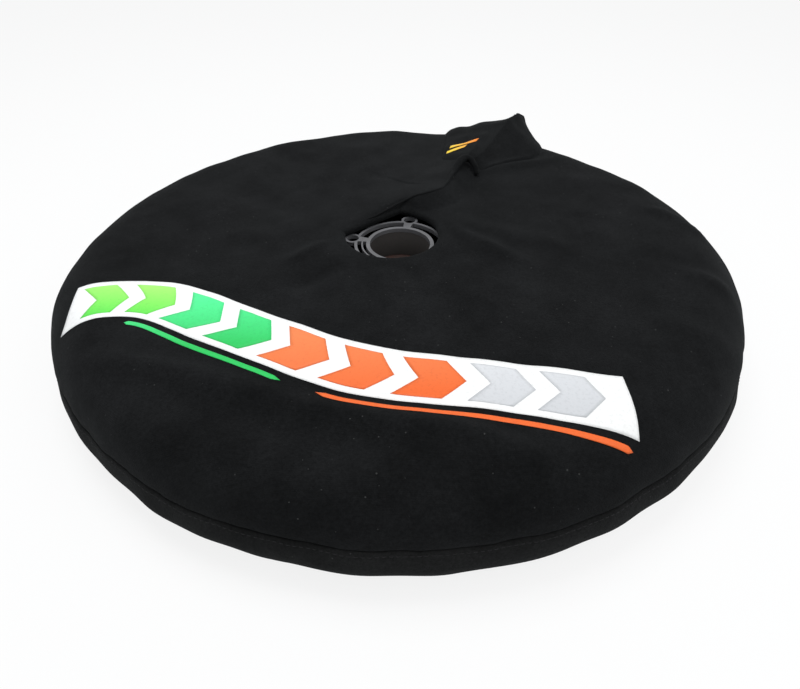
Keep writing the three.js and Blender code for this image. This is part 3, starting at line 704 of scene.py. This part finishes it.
BLANKET_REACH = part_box("insulation_layer")[1][1] - BASE
BLANKET_MIDDLE = TOP / 2 - 0.001
BLANKET_HALF = 0.038
BLANKET_SPAN = 60
SLIT = math.radians(60)
SLIT_GAP = 0.004
QUILT_CHANNELS = 44
ROW_SHARE = 0.35


def blanket(name, depth, thickness, material, quilt):
    """One layer of the blanket, open at the slit, with quilted channels pressed into its inside."""
    columns, across = 360, 17
    turn = SLIT + np.linspace(SLIT_GAP, 2 * np.pi - SLIT_GAP, columns)[:, None]
    a = np.radians(np.linspace(-BLANKET_SPAN, BLANKET_SPAN, across))[None, :]
    pressed = quilt * np.abs(np.cos(turn * QUILT_CHANNELS / 2)) ** 8
    pressed = pressed + quilt * (ROW_SHARE * np.abs(np.cos(a * 4.5)) ** 10)
    rows = []
    for d in (depth + 0 * pressed, depth + thickness - pressed):
        r = BASE + (BLANKET_REACH - d) * np.cos(a)
        z = BLANKET_MIDDLE + (BLANKET_HALF - d) * np.sin(a)
        rows.append(np.stack([r * np.cos(turn), r * np.sin(turn), z + 0 * r], axis=-1))
    loop = np.concatenate([rows[0], rows[1][:, ::-1]], axis=1)
    m = loop.shape[1]
    faces = grid_faces(columns, m, True)
    faces.append(tuple(range(m)))
    faces.append(tuple((columns - 1) * m + k for k in range(m)))
    return piece_from(name, widened(loop), faces, material)


insulation = blanket("quilted_insulation", 0, 0.0050, FELT, 0.0016)
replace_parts(insulation, "insulation_layer")
carrier = blanket("carrier_cloth", 0.0053, 0.0010, LINING, 0.0002)
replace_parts(carrier, "heater_carrier")
lining = blanket("lining_cloth", 0.0110, 0.0010, LINING, 0.0002)
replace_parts(lining, "inner_lining")


# Closure flap: bunched up from the band over the shoulder, with a ridge that runs down to the knob

FLAP_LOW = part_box("closure_flap")[0][2]
BAND_LENGTH = SEAM - FLAP_LOW
SHOULDER = 0.066
KNOB = 0.165
FLAP_LENGTH = BAND_LENGTH + SHOULDER + FLAT - KNOB
# Share of the length: angles of the right side, ridge and left side in degrees, and height of the ridge
FLAP_STATIONS = np.array([
    (0.00, 52.5, 60.5, 79.0, 0.0000), (0.10, 52.5, 60.5, 79.0, 0.0000), (0.24, 52.5, 60.4, 79.0, 0.0190),
    (0.36, 52.6, 60.3, 79.0, 0.0345), (0.40, 52.0, 60.4, 79.0, 0.0335), (0.44, 50.5, 60.6, 78.8, 0.0300),
    (0.56, 48.0, 60.8, 78.0, 0.0240), (0.66, 48.5, 61.2, 77.5, 0.0185), (0.78, 52.0, 61.6, 77.0, 0.0130),
    (0.88, 56.0, 62.4, 76.0, 0.0075), (0.96, 58.5, 64.0, 74.5, 0.0020), (1.00, 60.0, 65.5, 73.0, 0.0000),
])
# Height of the flap's outside over the band and over the curtain, and how far its hems and end dip
FLAP_OVER_BAND, FLAP_OVER_CURTAIN = 0.0056, 0.0016
FLAP_HEM = 0.08
HEM_DIP, END_DIP = 0.0036, 0.0050


def flap_surface(share, across, lift):
    """Points on the flap, by share of the way up and share across from its left side to its right."""
    at, *columns = FLAP_STATIONS.T
    right, ridge, left, height = (np.interp(share, at, column) for column in columns)
    degrees = left + (right - left) * across
    near = np.clip((degrees - right) / (ridge - right), 0, 1)
    far = np.clip((left - degrees) / (left - ridge), 0, 1)
    side = np.where(degrees < ridge, near, far)
    top = 1 - side
    crest = np.where(degrees < ridge, 0.96 * side ** 1.35, 0.86 * side ** 0.95)
    crest = crest + 0.10 * np.exp(-((top / 0.10) ** 2))
    crest = crest - 0.02 * np.exp(-((top / 0.025) ** 2))
    distance = share * FLAP_LENGTH
    over = smooth(BAND_LENGTH * 0.8, BAND_LENGTH * 1.3, distance)
    seat = FLAP_OVER_BAND * (1 - over) + FLAP_OVER_CURTAIN * over
    hem = smooth(0.0, FLAP_HEM, across) * smooth(0.0, FLAP_HEM, 1 - across)
    dip = HEM_DIP * over * (1 - hem) + END_DIP * smooth(0.86, 1.0, share)
    seat = seat * (0.25 + 0.75 * hem) - dip
    z = FLAP_LOW + np.clip(distance, 0, BAND_LENGTH)
    turn = np.clip((distance - BAND_LENGTH) / SHOULDER, 0, 1) * np.pi / 2
    beyond = np.clip(distance - BAND_LENGTH - SHOULDER, 0, None)
    off = seat + lift + height * crest
    on_top = FLAT + (EDGE - FLAT + off) * np.cos(turn) - beyond
    r = np.where(distance < BAND_LENGTH, band_radius(z) + off, on_top)
    h = np.where(distance < BAND_LENGTH, z, SEAM + (TOP - SEAM + off) * np.sin(turn))
    a = np.radians(degrees)
    x, y = r * np.cos(a), r * np.sin(a)
    p = np.stack([x, y, h], axis=-1)
    wrinkle = 0.0005 * CREASE(p * 1.5) + 0.0001 * PUCKER(p * 1.2)
    p[..., 2] += relief(x, y, np.ones(np.shape(x))) * over + wrinkle * hem * np.clip(height / 0.02, 0, 1)
    return widened(p)


def flap_cloth():
    rows, columns = 150, 120
    share = np.linspace(0, 1, rows)[:, None] + np.zeros((1, columns))
    across = np.linspace(0, 1, columns)[None, :] + np.zeros((rows, 1))
    faces = grid_faces(rows, columns, False)
    return piece_from("flap_cloth", flap_surface(share, across, 0.0), faces, KNIT)


flap = flap_cloth()
thicken(flap, CLOTH)
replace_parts(flap, "closure_flap")

BAR_START = (0.745, 0.13)
BAR_PITCH = 0.072
BAR_WIDTH = 0.036
BAR_SPAN = 0.28
BAR_SLANT = 0.060
BAR_STEP, BAR_SHORTER = 0.02, 0.05
BAR_LIFT, BAR_FILM = 0.0005, 0.0003


def flap_bar(index):
    """A short slanted bar printed on the flap's left side."""
    rows, columns = 6, 24
    v = np.linspace(0, 1, rows)[:, None] + np.zeros((1, columns))
    u = np.linspace(0, 1, columns)[None, :] + np.zeros((rows, 1))
    share = BAR_START[0] + index * BAR_PITCH + v * BAR_WIDTH - u * BAR_SLANT
    across = BAR_START[1] - index * BAR_STEP + u * (BAR_SPAN - BAR_SHORTER * index)
    bar = piece_from(f"flap_bar_print_{index + 1}", flap_surface(share, across, BAR_LIFT),
                     grid_faces(rows, columns, False), AMBER)
    thicken(bar, BAR_FILM)
    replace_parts(bar, f"flap_bar_{index + 1}")


for bar_index in range(2):
    flap_bar(bar_index)


# Rolled free edge of the overlapping layer, ending in a curled knob before the flap

# Middle of the knob, from where it leaves the free edge to where it dives under
KNOB_ROUTE = [(0.060, 0.128, 0.1010), (0.066, 0.142, 0.1045), (0.072, 0.150, 0.1055), (0.079, 0.150, 0.1030),
              (0.084, 0.143, 0.0970), (0.085, 0.138, 0.0910)]


def free_roll():
    flat = np.array(FREE_EDGE[1:9])
    height = TOP + relief(flat[:, 0], flat[:, 1], 1.0) - 0.0008
    line = eased(list(np.column_stack([flat[:, :2], height])) + KNOB_ROUTE, 130, 17)
    t = np.linspace(0, 1, len(line))
    radius = np.interp(t, [0, 0.2, 0.55, 0.70, 0.82, 0.92, 1.0],
                       [0.0006, 0.0011, 0.0016, 0.0026, 0.0044, 0.0038, 0.0024])
    return tube("free_edge_roll", widened(line), radius, KNIT, sides=14)


edge = free_roll()
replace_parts(edge, "edge_binding")


# Printed graphic: strips and chevrons laid on the cloth

# Middle line of the ribbon: distance in from the edge and angle in degrees
RIBBON_ROUTE = [(0.021, -156.9), (0.085, -152.5), (0.122, -127.5), (0.117, -96.1), (0.086, -69.3),
                (0.033, -54.6)]
RIBBON_LINE = np.array([(EDGE - inset) * np.array([math.cos(math.radians(a)), math.sin(math.radians(a))])
                        for inset, a in RIBBON_ROUTE])
RIBBON_HALF = 0.026
RIBBON_END, RIBBON_END_SLANT = 0.995, 0.035
CHEVRON_HALF = 0.020
CHEVRONS = 9
CHEVRON_START, CHEVRON_END, CHEVRON_FILL, CHEVRON_DEPTH = 0.05, 0.93, 0.66, 0.030
SWEEP_GAP, SWEEP_WIDTH = 0.0055, 0.0045
SWEEP_POINT = 0.012
FILM = 0.00015
UNDER_PRINT, OVER_PRINT = 0.0003, 0.0005


def spline(t):
    """Points and directions on the smooth curve through the ribbon's route, t from 0 to 1."""
    p = RIBBON_LINE
    at = np.clip(t, 0, 1) * (len(p) - 1)
    i = np.clip(np.floor(at).astype(int), 0, len(p) - 2)
    w = (t * (len(p) - 1) - i)[..., None]
    p0, p1, p2, p3 = p[np.maximum(i - 1, 0)], p[i], p[i + 1], p[np.minimum(i + 2, len(p) - 1)]
    v0, v1 = (p2 - p0) / 2, (p3 - p1) / 2
    place = (2 * p1 - 2 * p2 + v0 + v1) * w ** 3 + (-3 * p1 + 3 * p2 - 2 * v0 - v1) * w ** 2 + v0 * w + p1
    way = 3 * (2 * p1 - 2 * p2 + v0 + v1) * w ** 2 + 2 * (-3 * p1 + 3 * p2 - 2 * v0 - v1) * w + v0
    return place, way / np.linalg.norm(way, axis=-1, keepdims=True)


def printed(name, start, end, side, lift, material, node_name):
    """A film of ink between two edges: start(s) and end(s) along the ribbon, for each side s across it."""
    rows, columns = len(side), max(6, int(round(abs(float(np.max(end - start))) * 130)))
    u = np.linspace(0, 1, columns)[None, :]
    t = start[:, None] + (end - start)[:, None] * u
    place, way = spline(t)
    s = side[:, None]
    x = place[..., 0] - way[..., 1] * s
    y = place[..., 1] + way[..., 0] * s
    film = piece_from(name, on_cloth(x, y, lift), grid_faces(rows, columns, False), material)
    thicken(film, FILM, side=1)
    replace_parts(film, node_name)


def ribbon_print():
    side = np.linspace(-RIBBON_HALF, RIBBON_HALF, 19)
    w = (side + RIBBON_HALF) / (2 * RIBBON_HALF)
    printed("ribbon_print", CHEVRON_DEPTH * w, RIBBON_END - RIBBON_END_SLANT * w, side, UNDER_PRINT, WHITE,
            "print_ribbon")


INKS = ([(LIME, "lime_ink")] * 2 + [(GREEN, "green_ink")] * 2 + [(ORANGE, "orange_ink")] * 3
        + [(PALE, "pale_ink")] * 2)


def chevron_print(index):
    pitch = (CHEVRON_END - CHEVRON_START) / CHEVRONS
    start = CHEVRON_START + index * pitch
    side = np.linspace(-CHEVRON_HALF, CHEVRON_HALF, 21)
    point = CHEVRON_DEPTH * (1 - np.abs(side) / CHEVRON_HALF)
    material, slot = INKS[index]
    end = start + pitch * CHEVRON_FILL
    printed(f"chevron_print_{index + 1}", start + point, end + point, side, OVER_PRINT, material,
            f"print_chevron_{index + 1}")


def sweep_print(name, start, end, material):
    side = np.linspace(-RIBBON_HALF - SWEEP_GAP - SWEEP_WIDTH, -RIBBON_HALF - SWEEP_GAP, 5)
    w = np.abs(2 * (side - side[0]) / SWEEP_WIDTH - 1)
    printed(f"sweep_{name}_print", start + SWEEP_POINT * w, end - SWEEP_POINT * w, side, UNDER_PRINT,
            material, f"print_sweep_{name}")


ribbon_print()
for chevron_index in range(CHEVRONS):
    chevron_print(chevron_index)
sweep_print("green", 0.16, 0.50, GREEN)
sweep_print("orange", 0.55, 0.98, ORANGE)


# Cast ring: two rims, webs with eyelets, a rib, and the dark barrel below

BORE = 0.029
INNER_RIM = 0.0326
OUTER_RIM = 0.0440
OUTER_RIM_INSIDE = 0.0412
RING_THICK = 0.004
WEB_ANGLE = 78
WEB_HALF = math.degrees(0.0045 / OUTER_RIM_INSIDE)
RIB, RIB_WIDTH = 0.0365, 0.0014
EYELET_AT, EYELET, EYELET_HOLE = 0.047, 0.0082, 0.0058


def prism(outline, low, high):
    """A temporary solid: an outline in plan between two heights."""
    n = len(outline)
    mesh = bpy.data.meshes.new("prism")
    verts = [(x, y, low) for x, y in outline] + [(x, y, high) for x, y in outline]
    faces = [tuple(reversed(range(n))), tuple(range(n, 2 * n))]
    faces += [(i, (i + 1) % n, n + (i + 1) % n, n + i) for i in range(n)]
    mesh.from_pydata(verts, [], faces)
    solid = bpy.data.objects.new("prism", mesh)
    bpy.context.scene.collection.objects.link(solid)
    return solid


def circle(radius, centre=(0, 0), count=96):
    return [(centre[0] + x, centre[1] + y)
            for x, y in arc_points((0, 0), (radius, radius), 0, 360 - 360 / count, count)]


def slot_outline(inner, outer, start, end):
    outside = arc_points((0, 0), (outer, outer), start, end, 40)
    return outside + arc_points((0, 0), (inner, inner), end, start, 40)


def cut(solid, tool, operation):
    change = solid.modifiers.new("cut", "BOOLEAN")
    change.operation = operation
    change.object = tool
    change.solver = "EXACT"
    baked(solid)
    bpy.data.objects.remove(tool)


def cast_ring():
    low, high = RING_TOP - RING_THICK, RING_TOP
    ring = prism(circle(OUTER_RIM, count=144), low, high)
    centres = []
    for index in range(4):
        a = math.radians(WEB_ANGLE + 90 * index)
        centres.append((EYELET_AT * math.cos(a), EYELET_AT * math.sin(a)))
    for centre in centres:
        cut(ring, prism(circle(EYELET, centre, 48), low, high), "UNION")
    cut(ring, prism(circle(BORE), low - 0.001, high + 0.001), "DIFFERENCE")
    for index, centre in enumerate(centres):
        cut(ring, prism(circle(EYELET_HOLE, centre, 40), low - 0.001, high + 0.001), "DIFFERENCE")
        start = WEB_ANGLE + 90 * index + WEB_HALF
        end = WEB_ANGLE + 90 * (index + 1) - WEB_HALF
        edges = [(INNER_RIM, OUTER_RIM_INSIDE)]
        if index == 1:
            edges = [(INNER_RIM, RIB - RIB_WIDTH / 2), (RIB + RIB_WIDTH / 2, OUTER_RIM_INSIDE)]
        for inner, outer in edges:
            cut(ring, prism(slot_outline(inner, outer, start, end), low - 0.001, high + 0.001), "DIFFERENCE")
    bevel = ring.modifiers.new("bevel", "BEVEL")
    bevel.width = 0.0006
    bevel.segments = 2
    bevel.limit_method = "ANGLE"
    bevel.angle_limit = math.radians(40)
    baked(ring)
    ring.name = ring.data.name = "cast_ring"
    for polygon in ring.data.polygons:
        polygon.use_smooth = False
    ring.data.materials.append(CASTING)
    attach(ring, "root")
    return ring


ring = cast_ring()
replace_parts(ring, "hub_core")
LOWER_FLANGE = 0.007
barrel = revolved("ring_barrel", [
    (BORE, RING_TOP - 0.0042), (INNER_RIM - 0.0004, RING_TOP - 0.0042), (INNER_RIM, RING_TOP - 0.0050),
    (INNER_RIM, LOWER_FLANGE + 0.002), (INNER_RIM + 0.002, LOWER_FLANGE), (OPENING - 0.0010, LOWER_FLANGE),
    (OPENING - 0.0003, LOWER_FLANGE - 0.0008), (OPENING - 0.0003, 0.0006), (OPENING - 0.0009, 0.0),
    (BORE + 0.0008, 0.0), (BORE, 0.0008)], BARREL, 144)
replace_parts(barrel, "hub_core")

SEAL_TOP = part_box("hub_seal")[1][2]
SEAL_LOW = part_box("hub_seal")[0][2]
SEAL_BORE = 0.020
lip = revolved("seal_lip", [
    (BORE - 0.0003, SEAL_LOW), (BORE - 0.0003, SEAL_TOP), (BORE - 0.0020, SEAL_TOP),
    (BORE - 0.0030, SEAL_TOP - 0.0016), (SEAL_BORE + 0.0022, SEAL_TOP - 0.0028),
    (SEAL_BORE + 0.0008, SEAL_TOP - 0.0018), (SEAL_BORE, SEAL_TOP - 0.0026), (SEAL_BORE, SEAL_LOW + 0.001),
    (SEAL_BORE + 0.001, SEAL_LOW)], SEAL, 120)
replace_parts(lip, "hub_seal")


# Cable gland at the far right of the band

GLAND_ANGLE = math.radians(36)
GLAND_HEIGHT = (CORNER + SEAM) / 2
GLAND_FLANGE, GLAND_NECK, GLAND_BORE = 0.009, 0.0055, 0.0032


def gland():
    """Flange, ribbed neck and bore, turned round the gland's own axis."""
    start = RADIUS + 0.0003
    section = [(GLAND_BORE, -0.014), (GLAND_NECK, -0.014), (GLAND_NECK, 0.0), (GLAND_FLANGE - 0.0006, 0.0),
               (GLAND_FLANGE, 0.0006), (GLAND_FLANGE, 0.0022), (GLAND_FLANGE - 0.0008, 0.0030)]
    for rib in range(3):
        at = 0.0030 + rib * 0.0013
        section += [(GLAND_NECK + 0.0002, at), (GLAND_NECK + 0.0002, at + 0.0005),
                    (GLAND_NECK - 0.0006, at + 0.0007)]
    section += [(GLAND_NECK - 0.0010, 0.0070), (GLAND_BORE, 0.0070)]
    turn = np.linspace(0, 2 * np.pi, 48, endpoint=False)
    r, out = np.array(section)[:, 0][:, None], np.array(section)[:, 1][:, None] + start
    side = r * np.cos(turn)
    p = np.stack([out * math.cos(GLAND_ANGLE) - side * math.sin(GLAND_ANGLE),
                  out * math.sin(GLAND_ANGLE) + side * math.cos(GLAND_ANGLE),
                  GLAND_HEIGHT + r * np.sin(turn)], axis=-1)
    return piece_from("gland_body", widened(p), turned_faces(*p.shape[:2], True), RUBBER)


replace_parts(gland(), "cable_gland")


# Materials of the CAD nodes that stay

KEPT = {"heating_element": SILICONE, "lead_upper": SILICONE, "lead_lower": SILICONE,
        "thermal_cutout": PLASTIC,
        "upper_seam_tape": WEBBING, "lower_seam_tape": WEBBING, "loop_tape": WEBBING, "hook_tape": WEBBING}
for name, material in KEPT.items():
    for material_slot in frame["nodes"][name].material_slots:
        material_slot.material = material


# Floor and light

FLOOR_HALF = 20.0
FLOOR_DROP = 0.0002
FLOOR_SHOWN = 0.84


def floor():
    material, tree, shader = new_material("pale_floor")
    shader.inputs["Base Color"].default_value = (0.86, 0.86, 0.86, 1)
    shader.inputs["Roughness"].default_value = 0.9
    glow = node(tree, "Emission", {"Color": (1, 1, 1, 1), "Strength": 1.0})
    rays = node(tree, "LightPath")
    seen = maths(tree, "MAXIMUM", rays.outputs["Is Camera Ray"], rays.outputs["Is Glossy Ray"])
    both = node(tree, "MixShader")
    tree.links.new(maths(tree, "MULTIPLY", seen, FLOOR_SHOWN), both.inputs[0])
    tree.links.new(shader.outputs["BSDF"], both.inputs[1])
    tree.links.new(glow.outputs["Emission"], both.inputs[2])
    out = next(n for n in tree.nodes if n.type == "OUTPUT_MATERIAL")
    tree.links.new(both.outputs["Shader"], out.inputs["Surface"])
    size = FLOOR_HALF
    mesh = bpy.data.meshes.new("floor")
    corners = [(-size, -size, 0), (size, -size, 0), (size, size, 0), (-size, size, 0)]
    mesh.from_pydata(corners, [], [(0, 1, 2, 3)])
    mesh.materials.append(material)
    piece = bpy.data.objects.new("floor", mesh)
    bpy.context.scene.collection.objects.link(piece)
    piece.location.z = -FLOOR_DROP


def world():
    made = bpy.data.worlds.new("studio")
    made.use_nodes = True
    tree = made.node_tree
    tree.nodes.clear()
    rays = node(tree, "LightPath")
    seen = maths(tree, "MAXIMUM", rays.outputs["Is Camera Ray"], rays.outputs["Is Glossy Ray"])
    lit = node(tree, "Background", {"Color": (0.95, 0.98, 1.0, 1), "Strength": 0.50})
    shown = node(tree, "Background", {"Color": (1, 1, 1, 1), "Strength": 1.0})
    both = node(tree, "MixShader")
    tree.links.new(seen, both.inputs[0])
    tree.links.new(lit.outputs[0], both.inputs[1])
    tree.links.new(shown.outputs[0], both.inputs[2])
    out = node(tree, "OutputWorld")
    tree.links.new(both.outputs[0], out.inputs["Surface"])
    bpy.context.scene.world = made


def area_light(name, place, target, size, power, colour=(1, 1, 1)):
    light = bpy.data.lights.new(name, "AREA")
    light.shape = "DISK"
    light.size = size
    light.energy = power
    light.color = colour
    lamp = bpy.data.objects.new(name, light)
    lamp.location = place
    lamp.rotation_mode = "QUATERNION"
    lamp.rotation_quaternion = (Vector(target) - Vector(place)).to_track_quat("-Z", "Y")
    bpy.context.scene.collection.objects.link(lamp)


floor()
world()
area_light("key", (-0.2, 0.12, 1.60), (0, 0, 0.05), 0.9, 15, (0.98, 0.99, 1.0))
area_light("fill", (0.9, -0.5, 1.3), (0, 0, 0.05), 1.2, 7)
bpy.context.scene.view_settings.view_transform = "Standard"
